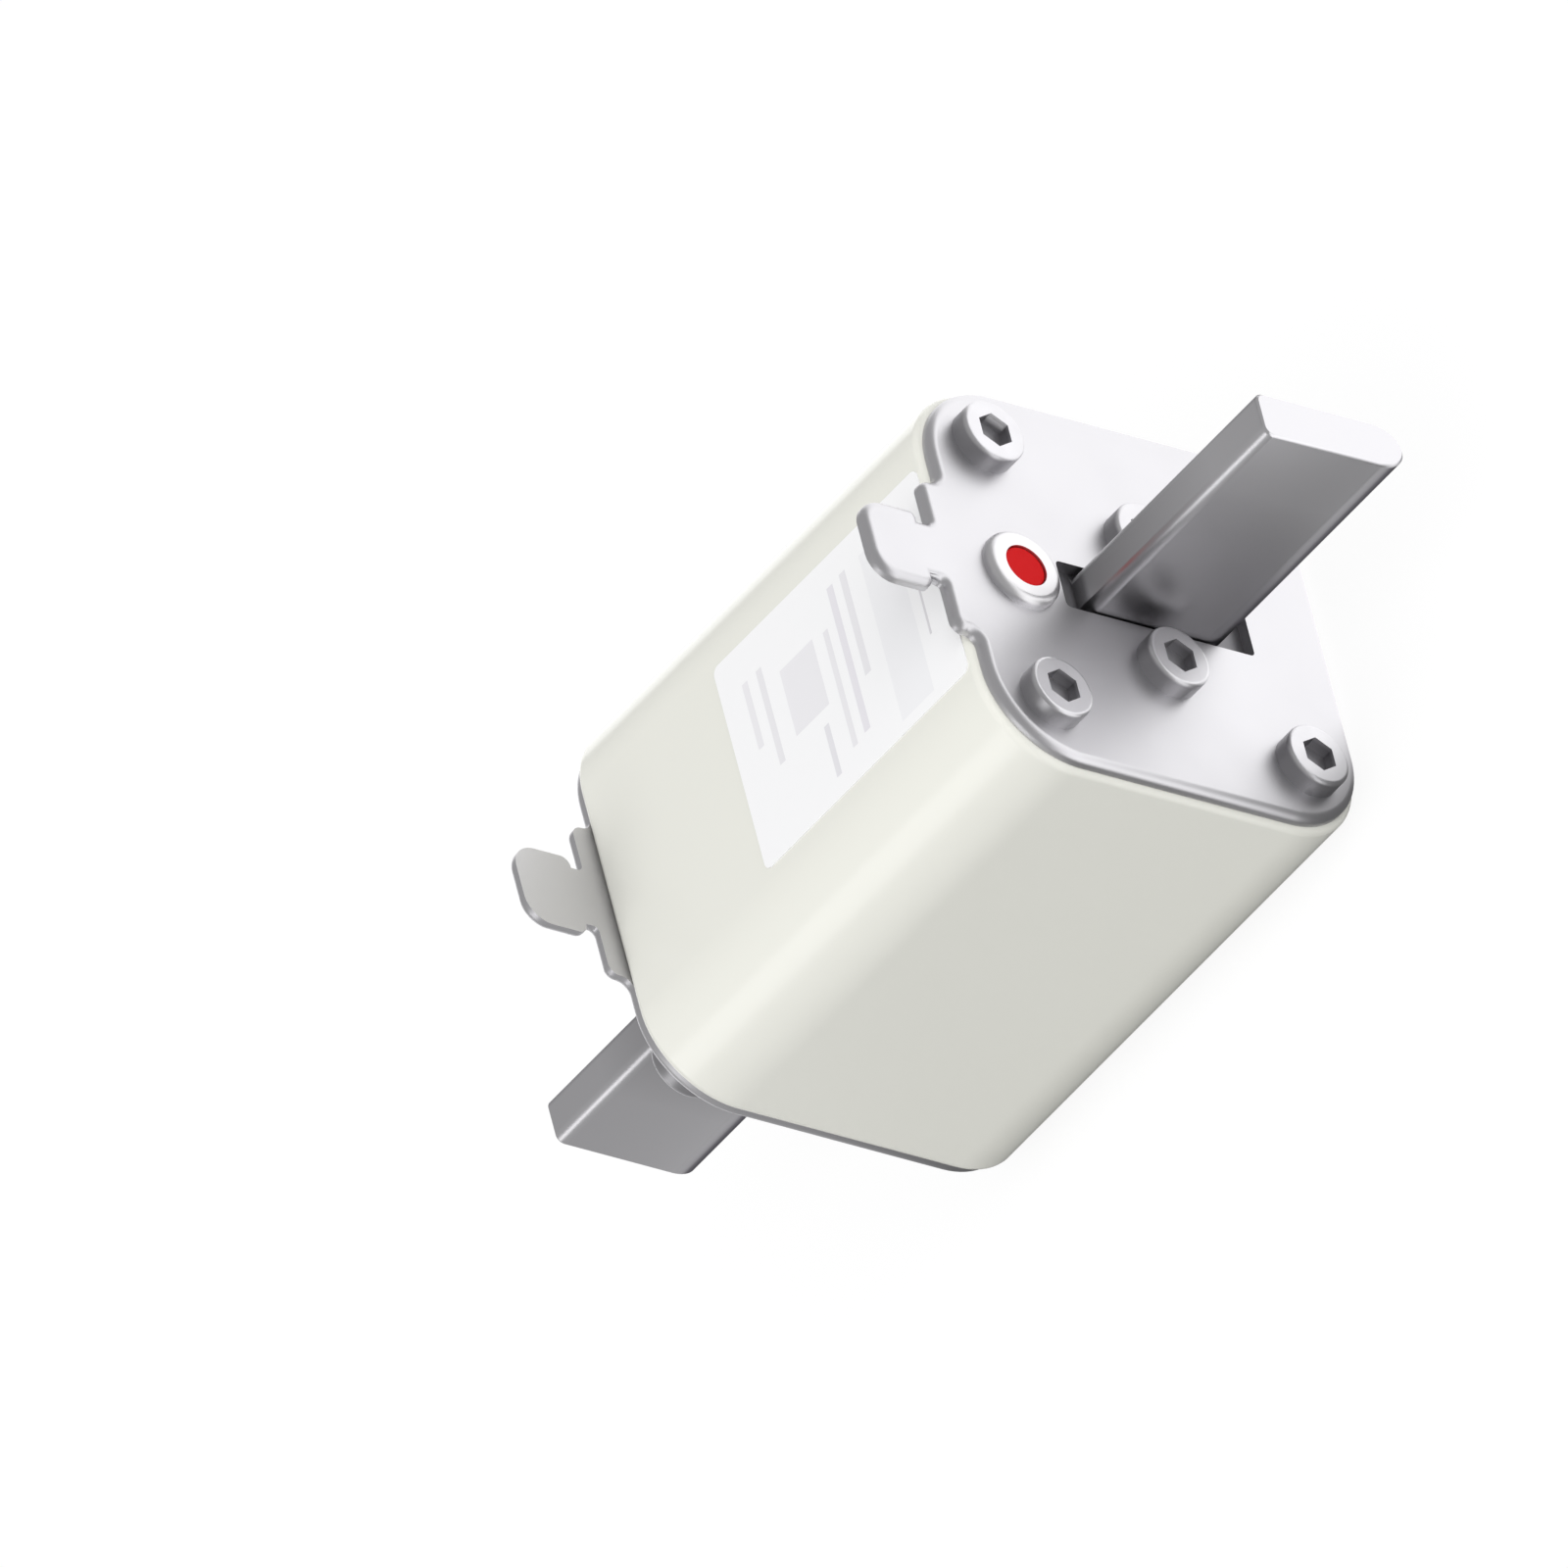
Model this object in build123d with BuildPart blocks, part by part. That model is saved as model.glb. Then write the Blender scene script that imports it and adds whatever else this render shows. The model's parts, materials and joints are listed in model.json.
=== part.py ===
from build123d import *
import os

os.makedirs("parts", exist_ok=True)

# Square body fuse with knife blades, in millimetres.
# +X runs along the fuse towards the end with the indicator, +Z is the labelled side, where the
# gripping lugs stand, and the origin lies under the middle of the back face that it rests on.

# Ceramic body
overall_length = 135.0
body_length = 64.8
body_width = 52.2
body_corner_radius = 11.0
body_end_radius = 1.0
body_wall = 6.1

# End plates, each cut from one sheet with its gripping lug
plate_thickness = 1.5
plate_inset = 0.6
plate_edge_radius = 1.0
lug_base_width = 20.6
lug_base_height = 3.0
lug_neck_width = 7.8
lug_neck_height = 1.7
lug_head_width = 10.6
lug_head_height = 8.1
lug_foot_radius = 1.5
lug_base_radius = 1.4
lug_neck_radius = 0.7
lug_under_radius = 1.2
lug_head_radius = 3.3

# Gaskets between plates and body
gasket_thickness = 0.5
gasket_inset = 3.1
gasket_clearance = 0.1

# Knife blades, each with a round foot behind its plate
blade_thickness = 6.0
blade_width = 20.0
blade_axis_offset = -1.55
blade_taper = 4.0
blade_corner_radius = 1.3
blade_tip_chamfer = 0.3
slot_side_clearance = 0.2
slot_corner_radius = 0.6
foot_thickness = 5.0
foot_slot_margin = 0.4
foot_bore_clearance = 2.0
foot_corner_radius = 1.5

# Socket head screws
screw_diameter = 5.0
screw_head_diameter = 8.2
screw_head_height = 2.6
screw_head_radius = 0.5
screw_point_chamfer = 0.4
socket_across_flats = 4.0
socket_depth = 1.7
plate_hole_clearance = 0.15
screw_fit_clearance = 0.05
corner_screw_inset = 8.3
corner_screw_length = 14.0
corner_hole_extra_depth = 1.0
blade_screw_gap = 1.5
blade_screw_rise = 0.65
blade_screw_length = 6.0

# Fuse element strips
strip_count = 6
strip_edge_margin = 7.25
strip_thickness = 0.3
strip_width = 15.0
strip_tab_length = 2.0
strip_bend_radius = 0.4
strip_rows = 4
strip_row_pitch = 12.0
necks_per_row = 4
neck_pitch = 3.4
neck_opening = 3.0

# Quartz sand filling
sand_gap = 0.05

# Indicator: bush, spring loaded pin, and the wire that holds it in
indicator_inset = 2.7
indicator_gap = 0.75
bush_flange_diameter = 10.0
bush_flange_height = 1.3
bush_rim_radius = 1.0
bush_sleeve_diameter = 6.6
bush_wall = 0.55
bush_web = 1.0
pin_running_clearance = 0.05
pin_recess = 0.2
pin_head_length = 4.0
pin_edge_radius = 0.3
pin_stem_diameter = 1.6
pin_collar_diameter = 2.6
pin_collar_length = 0.5
pin_travel = 3.0
pin_stop_clearance = 0.2
spring_wire_diameter = 0.4
spring_diameter = 3.9
spring_turns = 5
spring_length = 4.0
wire_diameter = 0.5
wire_end_gap = 0.1
bush_seat_clearance = 0.05
bush_pocket_clearance = 0.15

# Anchor bracket for the indicator wire, on the far foot
anchor_thickness = 0.8
anchor_width = 6.0
anchor_edge = 1.5
wire_tail = 1.0
anchor_bend_radius = 0.5

# Plug in the sand filling hole
plug_diameter = 4.8
plug_head_diameter = 7.2
plug_head_height = 0.8
plug_length = 3.0

# Label
label_length = 38.5
label_width = 28.0
label_thickness = 0.15
label_corner_radius = 1.0
label_end_margin = 1.1

# Values worked out from the sizes above
axis_height = body_width / 2
plate_inner_x = body_length / 2
plate_outer_x = plate_inner_x + plate_thickness
plate_width = body_width - 2 * plate_inset
lug_base_top = plate_width / 2 + lug_base_height
lug_neck_top = lug_base_top + lug_neck_height
lug_top = lug_neck_top + lug_head_height
lug_overhang = (lug_head_width - lug_neck_width) / 2
bore_radius = body_width / 2 - body_wall
seat_width = body_width - 2 * gasket_inset
seat_corner_radius = body_corner_radius - gasket_inset
corner_screw_pitch = body_width - 2 * corner_screw_inset
corner_hole_depth = corner_screw_length - plate_thickness + corner_hole_extra_depth
blade_screw_y = blade_thickness / 2 + blade_screw_gap + screw_head_diameter / 2
blade_screw_z = blade_axis_offset + blade_screw_rise
blade_screw_spots = [(-blade_screw_y, blade_screw_z), (blade_screw_y, blade_screw_z)]
plate_hole_radius = screw_diameter / 2 + plate_hole_clearance
screw_hole_radius = screw_diameter / 2 + screw_fit_clearance
slot_width = blade_thickness + 2 * slot_side_clearance
indicator_z = bore_radius - indicator_inset
slot_top = indicator_z - bush_flange_diameter / 2 - indicator_gap
slot_length = 2 * (slot_top - blade_axis_offset)
foot_inner_x = plate_inner_x - foot_thickness
foot_radius = bore_radius - foot_bore_clearance
foot_height = slot_length + 2 * foot_slot_margin
foot_top = blade_axis_offset + foot_height / 2
bush_face_x = plate_outer_x + bush_flange_height
guide_radius = bush_sleeve_diameter / 2 - bush_wall
pin_radius = guide_radius - pin_running_clearance
pin_face_x = bush_face_x - pin_recess
pin_head_back_x = pin_face_x - pin_head_length
web_face_x = pin_head_back_x - spring_length
web_back_x = web_face_x - bush_web
collar_face_x = web_back_x - pin_travel - pin_stop_clearance
collar_back_x = collar_face_x - pin_collar_length
bush_inner_x = collar_back_x - bush_wall
stem_hole_radius = pin_stem_diameter / 2 + pin_running_clearance
wire_hole_radius = wire_diameter / 2 + sand_gap
strip_pitch = 2 * (foot_radius - strip_edge_margin) / (strip_count - 1)
strip_low_z = axis_height + blade_axis_offset - strip_width / 2
anchor_top = indicator_z + anchor_edge
wire_far_x = -foot_inner_x - anchor_thickness - wire_tail


# A plane square to the fuse axis, looked at from outside, on the +X side or the -X side
def end_plane(side, distance):
    return Plane(origin=(side * distance, 0, axis_height), x_dir=(0, side, 0), z_dir=(side, 0, 0))


# A lengthwise plane through the indicator's axis, with its origin on the outer face of the plate
indicator_plane = Plane(
    origin=(0, 0, axis_height + indicator_z), x_dir=(1, 0, 0), z_dir=(0, -1, 0)
)
indicator_axis = Axis((0, 0, axis_height + indicator_z), (1, 0, 0))


# Labels a finished piece and writes its file
def save(piece, name):
    piece.part.label = name
    export_step(piece.part, f"parts/{name}.step")


# A band from one X to another and one radius to another, in a section that is revolved
def band(x_low, x_high, radius, mode=Mode.ADD):
    with Locations((x_low, 0)):
        Rectangle(x_high - x_low, radius, align=(Align.MIN, Align.MIN), mode=mode)


# Where a strip stands between the feet
def strip_place(number):
    return (number - (strip_count - 1) / 2) * strip_pitch


# A strip seen from above, bent outwards at both ends, or the slit that it leaves in the sand
def strip_bend(number, slit):
    strip_y = strip_place(number)
    end_x = foot_inner_x - strip_thickness / 2
    tab_y = strip_y + (strip_tab_length + slit) * (1 if strip_y > 0 else -1)
    with BuildLine() as middle:
        FilletPolyline(
            (-end_x, tab_y),
            (-end_x, strip_y),
            (end_x, strip_y),
            (end_x, tab_y),
            radius=strip_bend_radius,
        )
    trace(middle.edges(), line_width=strip_thickness + 2 * slit)


# The anchor bracket seen from the side, or the room that it leaves in the sand
def anchor_bend(room):
    middle_x = -foot_inner_x - anchor_thickness / 2
    middle_z = axis_height + foot_top + anchor_thickness / 2
    with BuildLine() as middle:
        FilletPolyline(
            (-plate_inner_x, middle_z),
            (middle_x, middle_z),
            (middle_x, axis_height + anchor_top + room),
            radius=anchor_bend_radius,
        )
    trace(middle.edges(), line_width=anchor_thickness + 2 * room)


# Outline of a blade foot, about the fuse axis: a disc with a flat above and below
with BuildSketch() as foot_outline:
    Circle(foot_radius)
    with Locations((0, blade_axis_offset)):
        Rectangle(2 * foot_radius, foot_height, mode=Mode.INTERSECT)
    fillet(foot_outline.vertices(), foot_corner_radius)

# Right half of the lug's outline, from inside the plate, where its straight edge ends, up to the
# head, as corners with the radius of each, which stays within the straight run beside it
lug_root = plate_width / 2 - body_corner_radius
lug_corners = [
    (lug_root, 0),
    (lug_root, plate_width / 2),
    (lug_base_width / 2, plate_width / 2),
    (lug_base_width / 2, lug_base_top),
    (lug_neck_width / 2, lug_base_top),
    (lug_neck_width / 2, lug_neck_top),
    (lug_head_width / 2, lug_neck_top),
    (lug_head_width / 2, lug_top),
]
lug_radii = [
    0,
    0,
    min(lug_foot_radius, 0.5 * lug_base_height),
    min(lug_base_radius, 0.49 * lug_base_height),
    min(lug_neck_radius, 0.9 * lug_neck_height),
    0,
    min(lug_under_radius, 0.9 * lug_overhang),
    min(lug_head_radius, 0.45 * lug_head_width),
]
mirrored_corners = [(-x, y) for x, y in reversed(lug_corners)]

# Outline of an end plate with its lug, about the fuse axis
with BuildSketch() as plate_outline:
    RectangleRounded(plate_width, plate_width, body_corner_radius)
    with BuildLine():
        FilletPolyline(
            *lug_corners, *mirrored_corners, radius=lug_radii + lug_radii[::-1], close=True
        )
    make_face()

# Ceramic body: a square tube with a round bore, a shallow gasket seat and four screw holes at each
# end, and a groove in the bore wall for the indicator's sleeve
with BuildPart() as ceramic_body:
    with BuildSketch(end_plane(1, -plate_inner_x)):
        RectangleRounded(body_width, body_width, body_corner_radius)
    extrude(amount=body_length)
    fillet(ceramic_body.faces().filter_by(Axis.X).edges(), body_end_radius)
    with BuildSketch(end_plane(1, -plate_inner_x)):
        Circle(bore_radius)
    extrude(amount=body_length, mode=Mode.SUBTRACT)
    for side in (1, -1):
        with BuildSketch(end_plane(side, plate_inner_x)):
            RectangleRounded(seat_width, seat_width, seat_corner_radius)
        extrude(amount=-gasket_thickness, mode=Mode.SUBTRACT)
        with BuildSketch(end_plane(side, plate_inner_x)):
            with GridLocations(corner_screw_pitch, corner_screw_pitch, 2, 2):
                Circle(screw_hole_radius)
        extrude(amount=-corner_hole_depth, mode=Mode.SUBTRACT)
    with BuildSketch(end_plane(1, plate_inner_x)):
        with Locations((0, indicator_z)):
            Circle(bush_sleeve_diameter / 2 + bush_pocket_clearance)
    extrude(amount=bush_inner_x - plate_inner_x - bush_pocket_clearance, mode=Mode.SUBTRACT)
save(ceramic_body, "ceramic_body")

# Both ends are alike, apart from the hole for the indicator or the sand filling hole
for side, end in ((1, "indicator_end"), (-1, "plain_end")):
    has_indicator = side == 1
    outermost = -1 if side == 1 else 0
    hole_diameter = bush_sleeve_diameter if has_indicator else plug_diameter
    top_hole_radius = hole_diameter / 2 + bush_seat_clearance

    with BuildPart() as end_plate:
        with BuildSketch(end_plane(side, plate_inner_x)):
            add(plate_outline.sketch)
            with Locations((0, blade_axis_offset)):
                RectangleRounded(slot_width, slot_length, slot_corner_radius, mode=Mode.SUBTRACT)
            with GridLocations(corner_screw_pitch, corner_screw_pitch, 2, 2):
                Circle(plate_hole_radius, mode=Mode.SUBTRACT)
            with Locations(*blade_screw_spots):
                Circle(plate_hole_radius, mode=Mode.SUBTRACT)
            with Locations((0, indicator_z)):
                Circle(top_hole_radius, mode=Mode.SUBTRACT)
        extrude(amount=plate_thickness)
        outer_face = end_plate.faces().filter_by(Axis.X).sort_by(Axis.X)[outermost]
        fillet(outer_face.outer_wire().edges(), min(plate_edge_radius, 0.7 * plate_thickness))
    save(end_plate, f"{end}_plate")

    with BuildPart() as gasket:
        with BuildSketch(end_plane(side, plate_inner_x)):
            width = seat_width - 2 * gasket_clearance
            RectangleRounded(width, width, seat_corner_radius - gasket_clearance)
            Circle(bore_radius, mode=Mode.SUBTRACT)
            with GridLocations(corner_screw_pitch, corner_screw_pitch, 2, 2):
                Circle(plate_hole_radius, mode=Mode.SUBTRACT)
            if has_indicator:
                with Locations((0, indicator_z)):
                    Circle(bush_sleeve_diameter / 2 + bush_pocket_clearance, mode=Mode.SUBTRACT)
        extrude(amount=-gasket_thickness)
    save(gasket, f"{end}_gasket")

    with BuildPart() as blade:
        with BuildSketch(end_plane(side, plate_inner_x)) as blade_section:
            with Locations((0, blade_axis_offset - blade_width / 2 + blade_taper)):
                Ellipse(blade_thickness / 2, blade_taper)
                Rectangle(
                    blade_thickness, blade_width - blade_taper, align=(Align.CENTER, Align.MIN)
                )
            fillet(blade_section.vertices().group_by(Axis.Y)[-1], blade_corner_radius)
        extrude(amount=overall_length / 2 - plate_inner_x)
        tip_face = blade.faces().filter_by(Axis.X).sort_by(Axis.X)[outermost]
        chamfer(tip_face.edges(), blade_tip_chamfer)
        with BuildSketch(end_plane(side, plate_inner_x)):
            add(foot_outline.sketch)
        extrude(amount=-foot_thickness)
        with BuildSketch(end_plane(side, foot_inner_x)):
            with Locations(*blade_screw_spots):
                Circle(screw_hole_radius)
        extrude(amount=foot_thickness, mode=Mode.SUBTRACT)
    save(blade, f"{end}_blade")

    with GridLocations(corner_screw_pitch, corner_screw_pitch, 2, 2) as corner_grid:
        corner_spots = [(spot.position.X, spot.position.Y) for spot in corner_grid.locations]
    screw_sets = (
        ("corner", corner_spots, corner_screw_length),
        ("blade", blade_screw_spots, blade_screw_length),
    )
    for place, spots, length in screw_sets:
        with BuildPart() as screws:
            head_top_x = plate_outer_x + screw_head_height
            with BuildSketch(end_plane(side, plate_outer_x)):
                with Locations(*spots):
                    Circle(screw_head_diameter / 2)
            extrude(amount=screw_head_height)
            fillet(screws.edges().group_by(Axis.X)[outermost], screw_head_radius)
            with BuildSketch(end_plane(side, plate_outer_x)):
                with Locations(*spots):
                    Circle(screw_diameter / 2)
            extrude(amount=-length)
            chamfer(screws.edges().group_by(Axis.X)[-1 - outermost], screw_point_chamfer)
            with BuildSketch(end_plane(side, head_top_x)):
                with Locations(*spots):
                    RegularPolygon(socket_across_flats / 2, 6, major_radius=False)
            extrude(amount=-socket_depth, mode=Mode.SUBTRACT)
        save(screws, f"{end}_{place}_screws")

# Fuse element strips: perforated bands side by side, their bent ends welded to the two feet
for number in range(strip_count):
    with BuildPart() as strip:
        with BuildSketch(Plane.XY.offset(strip_low_z)):
            strip_bend(number, 0)
        extrude(amount=strip_width)
        with BuildSketch(Plane.XZ.offset(-strip_place(number) - strip_thickness / 2)):
            with Locations((0, strip_low_z + strip_width / 2)):
                with GridLocations(strip_row_pitch, neck_pitch, strip_rows, necks_per_row):
                    Rectangle(neck_opening / 2**0.5, neck_opening / 2**0.5, rotation=45)
        extrude(amount=strip_thickness, mode=Mode.SUBTRACT)
    save(strip, f"fuse_strip_{number + 1}")

# Indicator bush: a rimmed flange on the plate, a guide bore for the pin, a web that the spring
# stands on, and a chamber for the stem with a hole for the wire
with BuildPart() as indicator_bush:
    with BuildSketch(indicator_plane) as bush_section:
        band(plate_outer_x, bush_face_x, bush_flange_diameter / 2)
        band(bush_inner_x, plate_outer_x, bush_sleeve_diameter / 2)
        band(web_face_x, bush_face_x, guide_radius, mode=Mode.SUBTRACT)
        band(web_back_x, web_face_x, stem_hole_radius, mode=Mode.SUBTRACT)
        band(collar_back_x - wire_end_gap, web_back_x, guide_radius, mode=Mode.SUBTRACT)
        band(bush_inner_x, collar_back_x, wire_hole_radius, mode=Mode.SUBTRACT)
        rim = bush_section.vertices().sort_by_distance((bush_face_x, bush_flange_diameter / 2))[0]
        fillet(rim, min(bush_rim_radius, 0.8 * bush_flange_height))
    revolve(axis=indicator_axis)
save(indicator_bush, "indicator_bush")

# Indicator pin: red head, stem through the spring, and a collar that stops it at full travel
with BuildPart() as indicator_pin:
    with BuildSketch(indicator_plane) as pin_section:
        band(pin_head_back_x, pin_face_x, pin_radius)
        band(collar_back_x, pin_head_back_x, pin_stem_diameter / 2)
        band(collar_back_x, collar_face_x, pin_collar_diameter / 2)
        rim = pin_section.vertices().sort_by_distance((pin_face_x, pin_radius))[0]
        fillet(rim, pin_edge_radius)
    revolve(axis=indicator_axis)
save(indicator_pin, "indicator_pin")

# Indicator spring, pressed together between the web and the pin's head
with BuildPart() as indicator_spring:
    coil_length = spring_length - spring_wire_diameter
    coil_radius = (spring_diameter - spring_wire_diameter) / 2
    with BuildLine() as coil:
        Helix(
            coil_length / spring_turns,
            coil_length,
            coil_radius,
            center=(web_face_x + spring_wire_diameter / 2, 0, axis_height + indicator_z),
            direction=(1, 0, 0),
        )
    with BuildSketch(Plane(origin=coil.line @ 0, z_dir=coil.line % 0)):
        Circle(spring_wire_diameter / 2)
    sweep(path=coil.line, is_frenet=True)
save(indicator_spring, "indicator_spring")

# Indicator wire, from behind the pin's collar through the anchor bracket
with BuildPart() as indicator_wire:
    with BuildSketch(indicator_plane):
        band(wire_far_x, collar_back_x - wire_end_gap, wire_diameter / 2)
    revolve(axis=indicator_axis)
save(indicator_wire, "indicator_wire")

# Anchor bracket: bent strip that stands on the far foot
with BuildPart() as wire_anchor:
    with BuildSketch(Plane.XZ.offset(-anchor_width / 2)):
        anchor_bend(0)
    extrude(amount=anchor_width)
    with BuildSketch(end_plane(-1, foot_inner_x)):
        with Locations((0, indicator_z)):
            Circle(wire_hole_radius)
    extrude(amount=anchor_thickness, mode=Mode.SUBTRACT)
save(wire_anchor, "wire_anchor")

# Plug in the sand filling hole of the plain end
with BuildPart() as sand_fill_plug:
    with BuildSketch(end_plane(-1, plate_outer_x)):
        with Locations((0, indicator_z)):
            Circle(plug_head_diameter / 2)
    extrude(amount=plug_head_height, taper=30)
    with BuildSketch(end_plane(-1, plate_outer_x)):
        with Locations((0, indicator_z)):
            Circle(plug_diameter / 2)
    extrude(amount=-plug_length)
save(sand_fill_plug, "sand_fill_plug")

# Quartz sand that fills the bore, with room for everything that stands in it
with BuildPart() as quartz_sand:
    with BuildSketch(end_plane(1, -plate_inner_x)):
        Circle(bore_radius - sand_gap)
    extrude(amount=body_length)
    for side in (1, -1):
        with BuildSketch(end_plane(side, foot_inner_x - sand_gap)):
            add(foot_outline.sketch)
            offset(amount=sand_gap)
        extrude(amount=foot_thickness + sand_gap, mode=Mode.SUBTRACT)
    with BuildSketch(Plane.XY.offset(strip_low_z - sand_gap)):
        for number in range(strip_count):
            strip_bend(number, sand_gap)
    extrude(amount=strip_width + 2 * sand_gap, mode=Mode.SUBTRACT)
    with BuildSketch(end_plane(1, plate_inner_x)):
        with Locations((0, indicator_z)):
            Circle(bush_sleeve_diameter / 2 + sand_gap)
    extrude(amount=bush_inner_x - sand_gap - plate_inner_x, mode=Mode.SUBTRACT)
    with BuildSketch(end_plane(-1, plate_inner_x)):
        with Locations((0, indicator_z)):
            Circle(plug_diameter / 2 + sand_gap)
    extrude(amount=plate_thickness - plug_length - sand_gap, mode=Mode.SUBTRACT)
    with BuildSketch(end_plane(-1, plate_inner_x)):
        with Locations((0, indicator_z)):
            Circle(wire_diameter / 2 + sand_gap)
    extrude(amount=-body_length, mode=Mode.SUBTRACT)
    with BuildSketch(Plane.XZ.offset(-anchor_width / 2 - sand_gap)):
        anchor_bend(sand_gap)
    extrude(amount=anchor_width + 2 * sand_gap, mode=Mode.SUBTRACT)
save(quartz_sand, "quartz_sand")

# Label on the front of the body
with BuildPart() as label:
    with BuildSketch(Plane.XY.offset(body_width)):
        with Locations((plate_inner_x - label_end_margin, 0)):
            Rectangle(label_length, label_width, align=(Align.MAX, Align.CENTER))
    extrude(amount=label_thickness)
    fillet(label.edges().filter_by(Axis.Z), label_corner_radius)
save(label, "label")
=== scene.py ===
import json
import math

import bpy
from mathutils import Matrix, Vector


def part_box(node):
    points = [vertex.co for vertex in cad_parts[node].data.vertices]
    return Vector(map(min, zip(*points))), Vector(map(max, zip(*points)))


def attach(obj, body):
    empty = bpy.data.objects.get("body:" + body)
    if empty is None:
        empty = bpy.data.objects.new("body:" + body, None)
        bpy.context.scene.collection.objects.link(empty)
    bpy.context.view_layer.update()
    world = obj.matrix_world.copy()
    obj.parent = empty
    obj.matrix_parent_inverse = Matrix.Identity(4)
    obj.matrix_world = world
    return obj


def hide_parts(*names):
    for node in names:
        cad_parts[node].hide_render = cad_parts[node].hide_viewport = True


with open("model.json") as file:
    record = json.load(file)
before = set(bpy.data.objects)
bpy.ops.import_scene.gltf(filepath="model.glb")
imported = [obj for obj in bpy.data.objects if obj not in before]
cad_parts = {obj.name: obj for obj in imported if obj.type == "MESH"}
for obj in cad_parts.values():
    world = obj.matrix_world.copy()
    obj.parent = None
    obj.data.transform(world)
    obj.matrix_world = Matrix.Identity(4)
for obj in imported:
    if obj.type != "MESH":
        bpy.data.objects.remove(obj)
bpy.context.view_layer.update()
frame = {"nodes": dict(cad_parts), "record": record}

print("Frame loaded:", len(frame["nodes"]), "nodes")

millimetre = 0.001


# sRGB hex to linear
def linear(hexColour):
    parts = [int(hexColour[i:i + 2], 16) / 255 for i in (1, 3, 5)]
    return [c / 12.92 if c <= 0.04045 else ((c + 0.055) / 1.055) ** 2.4 for c in parts] + [1.0]


# One shader node, with its properties, its input values and the sockets that feed it
def addNode(tree, kind, properties=None, values=None, links=None):
    node = tree.nodes.new(kind)
    for name, value in (properties or {}).items():
        setattr(node, name, value)
    for socket, value in (values or {}).items():
        node.inputs[socket].default_value = value
    for socket, source in (links or {}).items():
        tree.links.new(source, node.inputs[socket])
    return node


# A new material with its shader, and the position on the fuse for patterns
def startMaterial(name, look):
    material = bpy.data.materials.new(name)
    material.use_nodes = True
    tree = material.node_tree
    shader = tree.nodes["Principled BSDF"]
    shader.inputs["Base Color"].default_value = linear(look["colour"])
    shader.inputs["Roughness"].default_value = look["roughness"]
    shader.inputs["Metallic"].default_value = look.get("metallic", 0.0)
    if "ior" in look:
        shader.inputs["IOR"].default_value = look["ior"]
    if "specular" in look:
        shader.inputs["Specular IOR Level"].default_value = look["specular"]
    if "edgeTone" in look:
        shader.inputs["Specular Tint"].default_value = linear(look["edgeTone"])
    place = addNode(tree, "ShaderNodeTexCoord").outputs["Object"]
    return material, tree, shader, place


# How finely the noise of relief and of patches breaks up, and the part of its range patches use
noiseLook = {"reliefDetail": 3.0, "patchDetail": 2.0, "patchRange": (0.3, 0.7)}


# Fine relief of a real size, as the surface was left by its making
def addRelief(tree, shader, place, grainSize, height, stretch=(1, 1, 1)):
    turned = addNode(tree, "ShaderNodeMapping", values={"Scale": stretch}, links={"Vector": place})
    grain = addNode(
        tree, "ShaderNodeTexNoise",
        values={"Scale": 1 / grainSize, "Detail": noiseLook["reliefDetail"]},
        links={"Vector": turned.outputs["Vector"]},
    )
    bump = addNode(
        tree, "ShaderNodeBump",
        values={"Strength": 1.0, "Distance": height},
        links={"Height": grain.outputs["Fac"]},
    )
    tree.links.new(bump.outputs["Normal"], shader.inputs["Normal"])
    return grain


# A metal whose roughness wanders a little between two values, as that of wiped metal does
def startMetal(name, look):
    material, tree, shader, place = startMaterial(name, look)
    patches = addNode(
        tree, "ShaderNodeTexNoise",
        values={"Scale": 1 / look["patch"], "Detail": noiseLook["patchDetail"]},
        links={"Vector": place},
    )
    least, most = noiseLook["patchRange"]
    low, high = look["unevenGloss"]
    spread = addNode(
        tree, "ShaderNodeMapRange",
        values={"From Min": least, "From Max": most, "To Min": low, "To Max": high},
        links={"Value": patches.outputs["Fac"]},
    )
    tree.links.new(spread.outputs["Result"], shader.inputs["Roughness"])
    return material, tree, shader, place


# Two colours, with a soft turn from one to the other between two values of a socket. Either may be
# the result of an earlier turn.
def addTurn(tree, shader, socket, turn, first, second):
    ramp = addNode(
        tree, "ShaderNodeMapRange", values={"From Min": turn[0], "From Max": turn[1]},
        links={"Value": socket},
    )
    tones = addNode(
        tree, "ShaderNodeMix", {"data_type": "RGBA"},
        links={"Factor": ramp.outputs["Result"]},
    )
    for side, tone in (("A", first), ("B", second)):
        if isinstance(tone, str):
            tones.inputs[side].default_value = linear(tone)
        else:
            tree.links.new(tone, tones.inputs[side])
    tree.links.new(tones.outputs["Result"], shader.inputs["Base Color"])
    return tones.outputs["Result"]


# Fired steatite: off-white and smooth, with a fine grit that only softens the highlight
ceramicLook = {
    "colour": "#E9E9E1", "roughness": 0.2, "ior": 1.55,
    "grit": 0.35 * millimetre, "height": 0.002 * millimetre,
}
firedSteatite, tree, shader, place = startMaterial("Fired steatite", ceramicLook)
addRelief(tree, shader, place, ceramicLook["grit"], ceramicLook["height"])

# Rolled sheet with a satin nickel plate: it mirrors what stands on it, blurred
plateLook = {
    "colour": "#DAD9DC", "roughness": 0.43, "metallic": 1.0,
    "patch": 12 * millimetre, "unevenGloss": (0.4, 0.46),
}
nickelPlatedSheet = startMetal("Nickel plated sheet", plateLook)[0]

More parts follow.
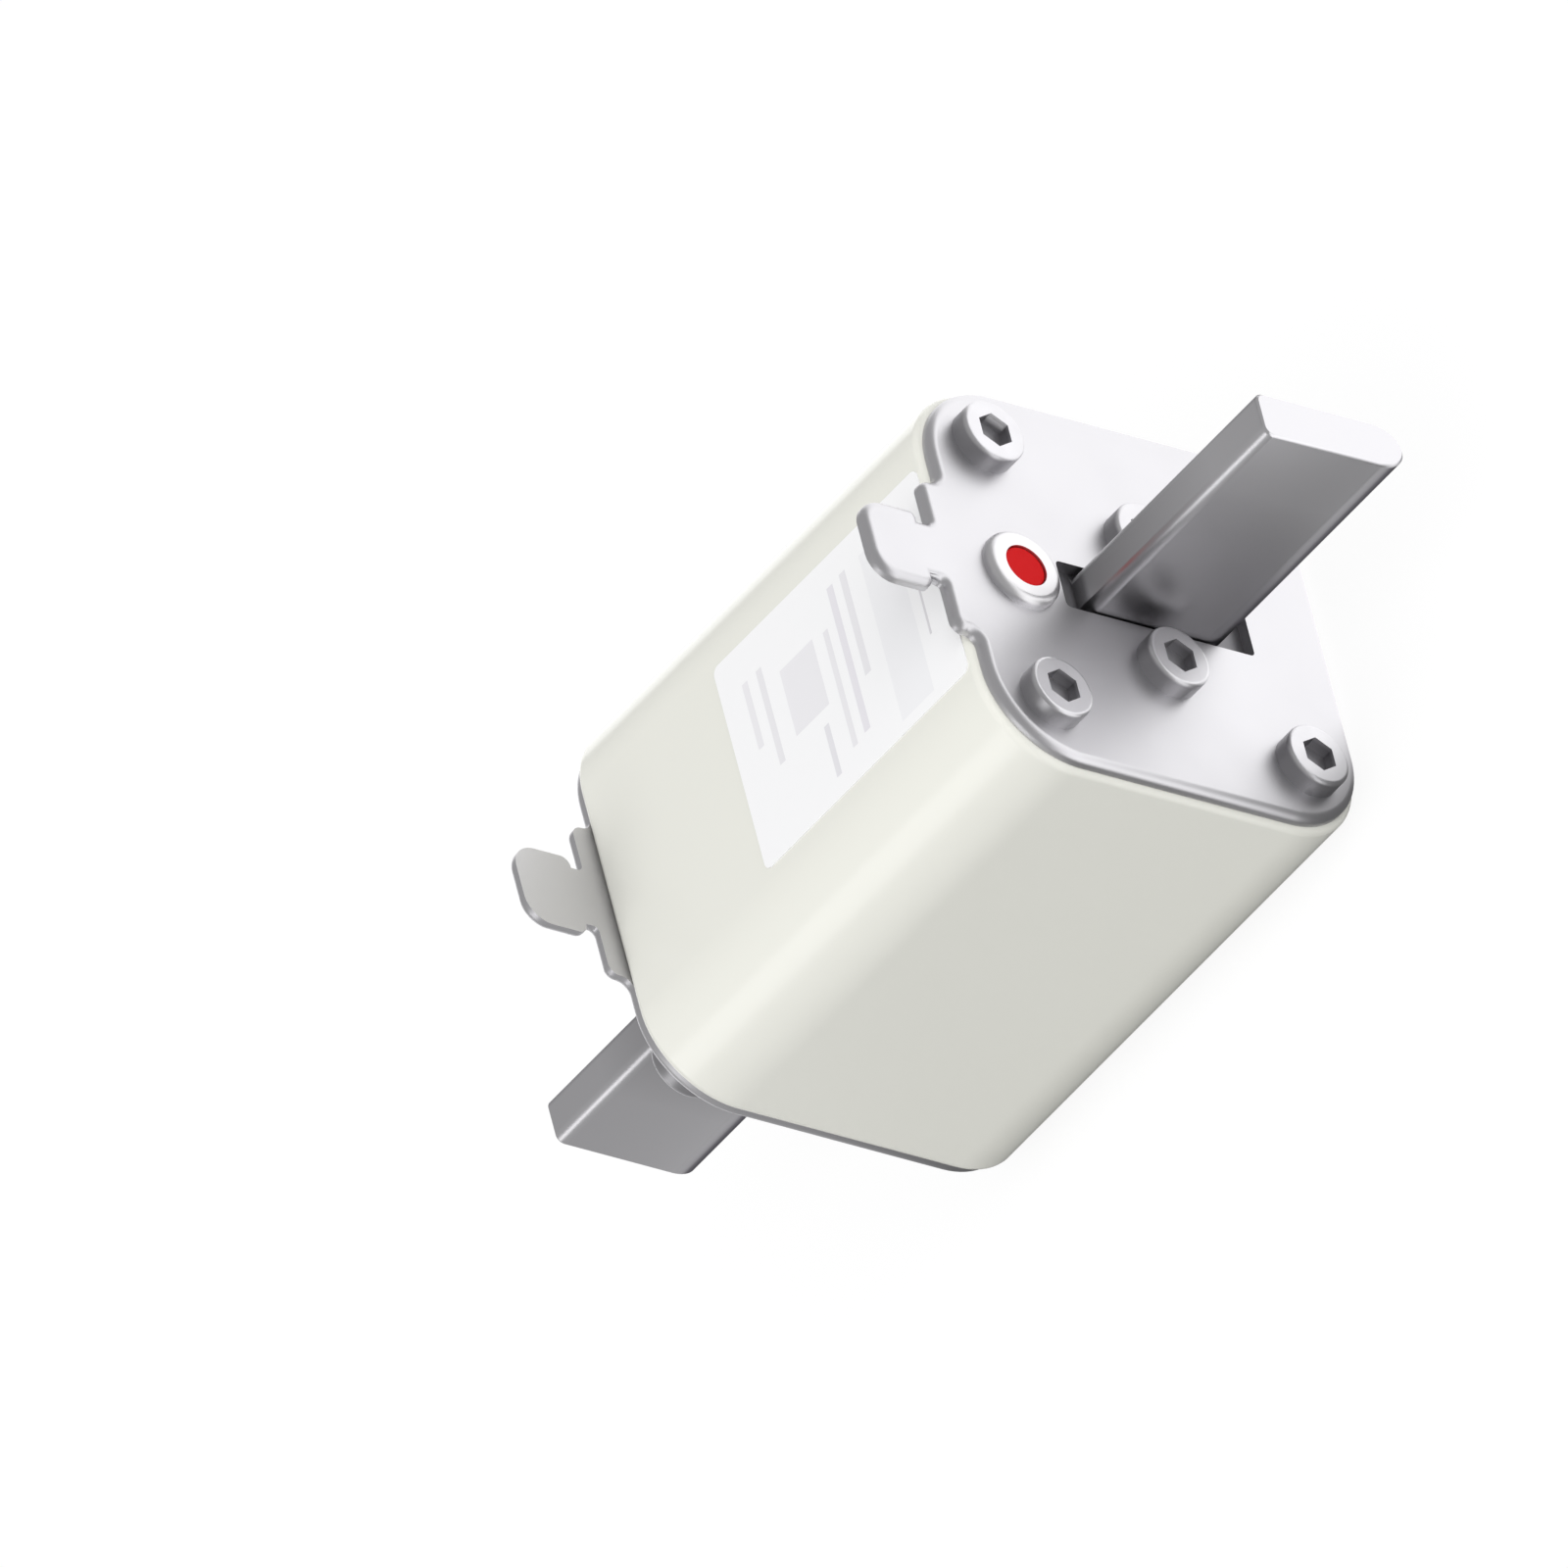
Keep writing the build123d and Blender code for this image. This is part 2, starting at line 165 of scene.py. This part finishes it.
# Drawn copper bar, silver plated, with faint lines lengthwise. Its colour carries a painted shade
# that makes it greyer than the sheet towards its root and paler towards its tip. It is darker where
# it is seen edgeways and on the milled taper of its lower edge, and a darker painted shadow lies on
# its root and foot, for the slot and the root's gap.
bladeLook = {
    "colour": "#E2E1E4", "roughness": 0.36, "metallic": 1.0, "edgeTone": "#5A595C",
    "paintedRootwardShade": "#A6A5A8", "tipTurn": (1 * millimetre, 24 * millimetre),
    "paintedSlotShadow": "#848386", "rootTurn": (0.1 * millimetre, 0.9 * millimetre),
    "taperColour": "#8F8E91", "taper": 4 * millimetre, "taperTurn": 1.8 * millimetre,
    "width": 20 * millimetre, "endChamfer": 0.35 * millimetre,
    "drawLine": 0.25 * millimetre, "height": 0.0009 * millimetre, "stretch": (0.03, 1, 1),
}
silverPlatedBar, tree, shader, place = startMaterial("Silver plated copper bar", bladeLook)
addRelief(tree, shader, place, bladeLook["drawLine"], bladeLook["height"], bladeLook["stretch"])
bladeLow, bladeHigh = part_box("indicator_end_blade")
taperTop = (bladeLow[2] + bladeHigh[2]) / 2 - bladeLook["width"] / 2 + bladeLook["taper"]
axes = addNode(tree, "ShaderNodeSeparateXYZ", links={"Vector": place})
outwards = addNode(tree, "ShaderNodeMath", {"operation": "ABSOLUTE"}, links={0: axes.outputs["X"]})
# On the end faces the height is put a metre up, which keeps the taper's tone off them
onEnd = addNode(
    tree, "ShaderNodeMath", {"operation": "GREATER_THAN"},
    {1: bladeHigh[0] - bladeLook["endChamfer"]}, {0: outwards.outputs[0]},
)
height = addNode(
    tree, "ShaderNodeMath", {"operation": "ADD"},
    links={0: axes.outputs["Z"], 1: onEnd.outputs[0]},
)
taperTurn = (taperTop, taperTop - bladeLook["taperTurn"])
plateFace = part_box("indicator_end_plate")[1][0]
tipTurn = [plateFace + depth for depth in bladeLook["tipTurn"]]
rootTurn = [plateFace + depth for depth in bladeLook["rootTurn"]]
# Painted shade: darker from the tip towards the root, and darker still at the root and in the slot
tones = addTurn(
    tree, shader, outwards.outputs[0], tipTurn, bladeLook["paintedRootwardShade"], bladeLook["colour"]
)
tones = addTurn(tree, shader, height.outputs[0], taperTurn, tones, bladeLook["taperColour"])
addTurn(tree, shader, outwards.outputs[0], rootTurn, bladeLook["paintedSlotShadow"], tones)

# Zinc plated screw steel: the head's face is bright; its side and its socket carry a darker painted
# shade
screwLook = {
    "colour": "#DEDDE0", "roughness": 0.42, "metallic": 1.0,
    "patch": 3 * millimetre, "unevenGloss": (0.38, 0.46),
    "paintedSideShade": "#B6B5B8", "faceDepth": (0.6 * millimetre, 0.15 * millimetre),
}
zincPlatedSteel, tree, shader, place = startMetal("Zinc plated steel", screwLook)
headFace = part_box("indicator_end_corner_screws")[1][0]
axes = addNode(tree, "ShaderNodeSeparateXYZ", links={"Vector": place})
outwards = addNode(tree, "ShaderNodeMath", {"operation": "ABSOLUTE"}, links={0: axes.outputs["X"]})
# Painted shade on the head's side and in its socket, below its face
faceTurn = [headFace - depth for depth in screwLook["faceDepth"]]
addTurn(tree, shader, outwards.outputs[0], faceTurn, screwLook["paintedSideShade"], screwLook["colour"])

# Turned brass with a nickel plate
bushLook = {
    "colour": "#E8E7E9", "roughness": 0.42, "metallic": 1.0,
    "patch": 4 * millimetre, "unevenGloss": (0.38, 0.46),
}
nickelPlatedBrass = startMetal("Nickel plated brass", bushLook)[0]

# Moulded nylon, signal red
pinLook = {
    "colour": "#DA1318", "roughness": 0.5, "ior": 1.53, "specular": 0.1,
    "grain": 0.2 * millimetre, "height": 0.001 * millimetre,
}
redNylon, tree, shader, place = startMaterial("Red nylon", pinLook)
addRelief(tree, shader, place, pinLook["grain"], pinLook["height"])

# Pressed fibre sheet: dull grey felt of short threads
gasketLook = {
    "colour": "#B9B5AD", "roughness": 0.9, "ior": 1.45,
    "fibre": 0.3 * millimetre, "height": 0.02 * millimetre,
}
pressedFibre, tree, shader, place = startMaterial("Pressed fibre", gasketLook)
addRelief(tree, shader, place, gasketLook["fibre"], gasketLook["height"])

# Rolled fine silver, bright
stripLook = {
    "colour": "#E6E5E1", "roughness": 0.25, "metallic": 1.0,
    "patch": 5 * millimetre, "unevenGloss": (0.22, 0.3),
}
rolledSilver = startMetal("Rolled fine silver", stripLook)[0]

# Packed quartz sand: pale grains with some darker ones between
sandLook = {
    "colour": "#CFC4AB", "dark": "#A8977A", "roughness": 0.9, "ior": 1.54,
    "grain": 0.5 * millimetre, "height": 0.15 * millimetre,
}
packedSand, tree, shader, place = startMaterial("Packed quartz sand", sandLook)
grain = addRelief(tree, shader, place, sandLook["grain"], sandLook["height"])
tones = addNode(
    tree, "ShaderNodeMix", {"data_type": "RGBA"},
    values={"A": linear(sandLook["dark"]), "B": linear(sandLook["colour"])},
    links={"Factor": grain.outputs["Fac"]},
)
tree.links.new(tones.outputs["Result"], shader.inputs["Base Color"])

# Drawn spring wire, bare and grey
springLook = {
    "colour": "#9A9A9C", "roughness": 0.35, "metallic": 1.0,
    "patch": 1 * millimetre, "unevenGloss": (0.3, 0.4),
}
drawnWire = startMetal("Drawn spring wire", springLook)[0]

# Pressed aluminium
plugLook = {
    "colour": "#DCDCDE", "roughness": 0.35, "metallic": 1.0,
    "patch": 3 * millimetre, "unevenGloss": (0.3, 0.4),
}
pressedAluminium = startMetal("Pressed aluminium", plugLook)[0]

# Label: white printed film. Pale fields and plain bars stand in for print. Each is given by the
# distance of its middle from the indicator end's edge of the label, its middle across, its length
# along the fuse and its width across it, all in millimetres, and its tone.
labelLook = {"colour": "#F7F7F8", "roughness": 0.42, "ior": 1.46}
labelFields = {
    "headField": {"along": 9.0, "across": -1.0, "length": 6.0, "width": 23.0, "tone": "#F1F1F3"},
    "headRule": {"along": 4.2, "across": 2.5, "length": 0.35, "width": 17.0, "tone": "#DAD8DC"},
    "firstBar": {"along": 15.2, "across": 3.6, "length": 1.1, "width": 14.0, "tone": "#E8E7EA"},
    "secondBar": {"along": 17.6, "across": 0.4, "length": 1.1, "width": 20.0, "tone": "#E6E4E9"},
    "thirdBar": {"along": 20.0, "across": -2.0, "length": 0.9, "width": 16.0, "tone": "#E9E8EB"},
    "block": {"along": 25.4, "across": 2.0, "length": 6.2, "width": 9.0, "tone": "#EBEAED"},
    "sideBar": {"along": 23.6, "across": -8.0, "length": 0.9, "width": 7.0, "tone": "#E3E2E6"},
    "lowBar": {"along": 31.6, "across": 2.6, "length": 1.0, "width": 13.0, "tone": "#E8E7EA"},
    "lastBar": {"along": 34.2, "across": 4.6, "length": 1.0, "width": 9.0, "tone": "#EAE9EC"},
}
printedFilm, tree, shader, place = startMaterial("Printed white film", labelLook)
labelLow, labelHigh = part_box("label")
labelMiddleY = (labelLow[1] + labelHigh[1]) / 2
axes = addNode(tree, "ShaderNodeSeparateXYZ", links={"Vector": place})


# 1 where a coordinate is within half a length of a middle
def within(socket, middle, length):
    gap = addNode(tree, "ShaderNodeMath", {"operation": "SUBTRACT"}, {1: middle}, {0: socket})
    size = addNode(tree, "ShaderNodeMath", {"operation": "ABSOLUTE"}, links={0: gap.outputs[0]})
    inside = addNode(
        tree, "ShaderNodeMath", {"operation": "LESS_THAN"}, {1: length / 2}, {0: size.outputs[0]}
    )
    return inside.outputs[0]


printed = None
for field in labelFields.values():
    middleX = labelHigh[0] - field["along"] * millimetre
    middleY = labelMiddleY + field["across"] * millimetre
    alongX = within(axes.outputs["X"], middleX, field["length"] * millimetre)
    acrossY = within(axes.outputs["Y"], middleY, field["width"] * millimetre)
    patch = addNode(tree, "ShaderNodeMath", {"operation": "MULTIPLY"}, links={0: alongX, 1: acrossY})
    layer = addNode(
        tree, "ShaderNodeMix", {"data_type": "RGBA"},
        values={"A": linear(labelLook["colour"]), "B": linear(field["tone"])},
        links={"Factor": patch.outputs[0]},
    )
    if printed is not None:
        tree.links.new(printed, layer.inputs["A"])
    printed = layer.outputs["Result"]
tree.links.new(printed, shader.inputs["Base Color"])

finishes = {
    "steatite": firedSteatite,
    "plated_plate": nickelPlatedSheet,
    "gasket_fibre": pressedFibre,
    "plated_copper": silverPlatedBar,
    "screw_steel": zincPlatedSteel,
    "strip_silver": rolledSilver,
    "sand": packedSand,
    "bush_metal": nickelPlatedBrass,
    "indicator_red": redNylon,
    "spring_steel": drawnWire,
    "plug_metal": pressedAluminium,
    "label_film": printedFilm,
}
slotOf = {part["node"]: part["material_slot"] for part in frame["record"]["subparts"]}
for name, node in frame["nodes"].items():
    for materialSlot in node.material_slots:
        materialSlot.material = finishes[slotOf[name]]
print("Materials set:", len(finishes))

# Pieces with round edges that show. Each is a merged and smoothed copy of its solid, so that the
# light runs evenly over its curves
smoothed = {
    "edgeAngle": 28,         # degrees: a sharper edge than this stays crisp
    "mergeDistance": 1e-6,   # metres
    "flatAngle": 0.2,        # degrees: triangles of one flat face are joined
    "nodes": (
        "ceramic_body",
        "indicator_end_plate", "plain_end_plate",
        "indicator_end_blade", "plain_end_blade",
        "indicator_end_corner_screws", "plain_end_corner_screws",
        "indicator_end_blade_screws", "plain_end_blade_screws",
        "indicator_bush", "indicator_pin", "sand_fill_plug",
    ),
}


def smoothPiece(nodeName):
    node = frame["nodes"][nodeName]
    piece = bpy.data.objects.new("smooth_" + nodeName, node.data.copy())
    bpy.context.scene.collection.objects.link(piece)
    bpy.ops.object.select_all(action="DESELECT")
    piece.select_set(True)
    bpy.context.view_layer.objects.active = piece
    bpy.ops.object.mode_set(mode="EDIT")
    bpy.ops.mesh.select_all(action="SELECT")
    bpy.ops.mesh.remove_doubles(threshold=smoothed["mergeDistance"])
    bpy.ops.mesh.dissolve_limited(angle_limit=math.radians(smoothed["flatAngle"]))
    bpy.ops.object.mode_set(mode="OBJECT")
    bpy.ops.object.shade_smooth_by_angle(angle=math.radians(smoothed["edgeAngle"]))
    bpy.ops.object.modifier_add(type="WEIGHTED_NORMAL")
    piece.modifiers[-1].keep_sharp = True
    bpy.ops.object.modifier_apply(modifier=piece.modifiers[-1].name)
    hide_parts(nodeName)
    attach(piece, "indicator" if nodeName == "indicator_pin" else "fuse")


for name in smoothed["nodes"]:
    smoothPiece(name)
print("Smoothed pieces:", len(smoothed["nodes"]))

# The floor that the fuse lies on. It keeps the shadow. In gloss it shows white, with a dark card
# that lies along the near side of the fuse
floorLook = {
    "size": 4.0,
    "colour": "#CDCDCD",
    "glowColour": "#FFFFFF",
    "ownGlow": 0.8,          # how much of what the camera sees is the floor's own white
    "glow": 1.12,
    "brightMirror": 1.47,    # how bright the floor shows in gloss
    "darkMirror": 0.17,      # and the card
    "innerEdge": (-0.018, -0.008),   # across the fuse, from all card to all floor
    "outerEdge": (-0.037, -0.049),   # the same on the card's far side
    "narrowEdge": (0.020, 0.036),    # along the fuse, where the card narrows
    "endEdge": (0.062, 0.080),       # where it ends
    "farEdge": (-0.045, -0.070),     # and where it turns paler, by this share
    "farShare": 0.2,
}
bpy.ops.object.select_all(action="DESELECT")
bpy.ops.mesh.primitive_plane_add(size=floorLook["size"], location=(0, 0, 0))
floor = bpy.context.object
floor.name = "studioFloor"
floorPaint = bpy.data.materials.new("Studio floor")
floorPaint.use_nodes = True
tree = floorPaint.node_tree
tree.nodes.remove(tree.nodes["Principled BSDF"])
place = addNode(tree, "ShaderNodeTexCoord").outputs["Object"]
axes = addNode(tree, "ShaderNodeSeparateXYZ", links={"Vector": place})


# 0 on the card, 1 on the floor, along one axis
def cardEdge(axis, edge, share=1.0):
    ramp = addNode(
        tree, "ShaderNodeMapRange",
        values={"From Min": edge[0], "From Max": edge[1], "To Max": share},
        links={"Value": axes.outputs[axis]},
    )
    return ramp.outputs["Result"]


# The larger of two values
def larger(first, second):
    most = addNode(tree, "ShaderNodeMath", {"operation": "MAXIMUM"}, links={0: first, 1: second})
    return most.outputs[0]


beyond = addNode(
    tree, "ShaderNodeMath", {"operation": "MULTIPLY"},
    links={0: cardEdge("Y", floorLook["outerEdge"]), 1: cardEdge("X", floorLook["narrowEdge"])},
)
openFloor = larger(cardEdge("Y", floorLook["innerEdge"]), beyond.outputs[0])
openFloor = larger(openFloor, cardEdge("X", floorLook["endEdge"]))
openFloor = larger(openFloor, cardEdge("X", floorLook["farEdge"], floorLook["farShare"]))
mirrorTone = addNode(
    tree, "ShaderNodeMapRange",
    values={"To Min": floorLook["darkMirror"], "To Max": floorLook["brightMirror"]},
    links={"Value": openFloor},
)
rays = addNode(tree, "ShaderNodeLightPath")
matt = addNode(tree, "ShaderNodeBsdfDiffuse", values={"Color": linear(floorLook["colour"])})
glow = addNode(
    tree, "ShaderNodeEmission",
    values={"Color": linear(floorLook["glowColour"]), "Strength": floorLook["glow"]},
)
cameraFloor = addNode(
    tree, "ShaderNodeMixShader", values={0: floorLook["ownGlow"]},
    links={1: matt.outputs[0], 2: glow.outputs[0]},
)
mirrorFloor = addNode(
    tree, "ShaderNodeEmission", values={"Color": linear(floorLook["glowColour"])},
    links={"Strength": mirrorTone.outputs["Result"]},
)
seen = addNode(
    tree, "ShaderNodeMixShader",
    links={0: rays.outputs["Is Camera Ray"], 1: matt.outputs[0], 2: cameraFloor.outputs[0]},
)
whole = addNode(
    tree, "ShaderNodeMixShader",
    links={0: rays.outputs["Is Glossy Ray"], 1: seen.outputs[0], 2: mirrorFloor.outputs[0]},
)
tree.links.new(whole.outputs[0], tree.nodes["Material Output"].inputs["Surface"])
floor.data.materials.append(floorPaint)

# Light from all round: how strong it lights, shows in gloss, and shows behind the fuse
skyLook = {"colour": "#FFFFFF", "strength": 0.5, "mirror": 0.41, "backdrop": 1.0}
world = bpy.context.scene.world or bpy.data.worlds.new("Studio")
bpy.context.scene.world = world
world.use_nodes = True
tree = world.node_tree
tree.nodes.clear()
rays = addNode(tree, "ShaderNodeLightPath")


# The sky at one of its strengths
def skyAt(strength):
    tone = addNode(
        tree, "ShaderNodeBackground",
        values={"Color": linear(skyLook["colour"]), "Strength": skyLook[strength]},
    )
    return tone.outputs[0]


sky = addNode(
    tree, "ShaderNodeMixShader",
    links={0: rays.outputs["Is Glossy Ray"], 1: skyAt("strength"), 2: skyAt("mirror")},
)
seen = addNode(
    tree, "ShaderNodeMixShader",
    links={0: rays.outputs["Is Camera Ray"], 1: sky.outputs[0], 2: skyAt("backdrop")},
)
addNode(tree, "ShaderNodeOutputWorld", links={"Surface": seen.outputs[0]})

# Large soft lamps, all at one distance: the side of the fuse that each hangs on, its size in metres
# and its watts. The edge lamp shows in gloss alone, as the light line on long edges. The others
# only light.
lampDistance = 1.0
lamps = {
    "topLamp": {"side": (-0.1, -0.6, 1.0), "size": 1.4, "watts": 6.1, "mirrored": False},
    "endLamp": {"side": (1.0, -0.1, 0.5), "size": 1.2, "watts": 4.5, "mirrored": False},
    "backLamp": {"side": (-0.3, 1.0, 0.08), "size": 0.5, "watts": 2.4, "mirrored": False},
    "edgeLamp": {"side": (-1.0, -1.0, 1.0), "size": 0.48, "watts": 0.75, "mirrored": True},
}
bodyLow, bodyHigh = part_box("ceramic_body")
bodyMiddle = (Vector(bodyLow) + Vector(bodyHigh)) / 2
for name, lamp in lamps.items():
    side = Vector(lamp["side"]).normalized()
    bpy.ops.object.light_add(type="AREA", location=bodyMiddle + side * lampDistance)
    light = bpy.context.object
    light.name = name
    light.rotation_euler = side.to_track_quat("Z", "Y").to_euler()
    light.data.shape = "DISK"
    light.data.size = lamp["size"]
    light.data.energy = lamp["watts"]
    light.visible_glossy = lamp["mirrored"]
    light.visible_diffuse = not lamp["mirrored"]
print("Floor, sky and lamps set")

# The photograph's view: along the diagonal between the indicator end, the near side and the
# labelled side, without perspective, and with the picture turned a little
viewLook = {
    "right": Vector((0.57735, -0.21132, -0.78868)),   # the picture's right edge, in the fuse's axes
    "up": Vector((0.57735, 0.78868, 0.21132)),        # the picture's top edge
    "back": Vector((0.57735, -0.57735, 0.57735)),     # from the fuse towards the camera
    "frameWidth": 0.1722,        # metres that the picture spans
    "shiftRight": 0.01995,       # how far the body's middle stands right of the picture's
    "shiftUp": 0.00003,
    "distance": 1.0,
    "clipEnd": 10,
}
cameraPlace = bodyMiddle + viewLook["back"] * viewLook["distance"]
cameraPlace -= viewLook["right"] * viewLook["shiftRight"] + viewLook["up"] * viewLook["shiftUp"]
bpy.ops.object.camera_add(location=cameraPlace)
camera = bpy.context.object
camera.name = "photoCamera"
turn = Matrix((viewLook["right"], viewLook["up"], viewLook["back"])).transposed()
camera.rotation_euler = turn.to_euler()
camera.data.type = "ORTHO"
camera.data.ortho_scale = viewLook["frameWidth"]
camera.data.clip_end = viewLook["clipEnd"]
bpy.context.scene.camera = camera
bpy.context.scene.view_settings.view_transform = "Standard"
print("Camera set")
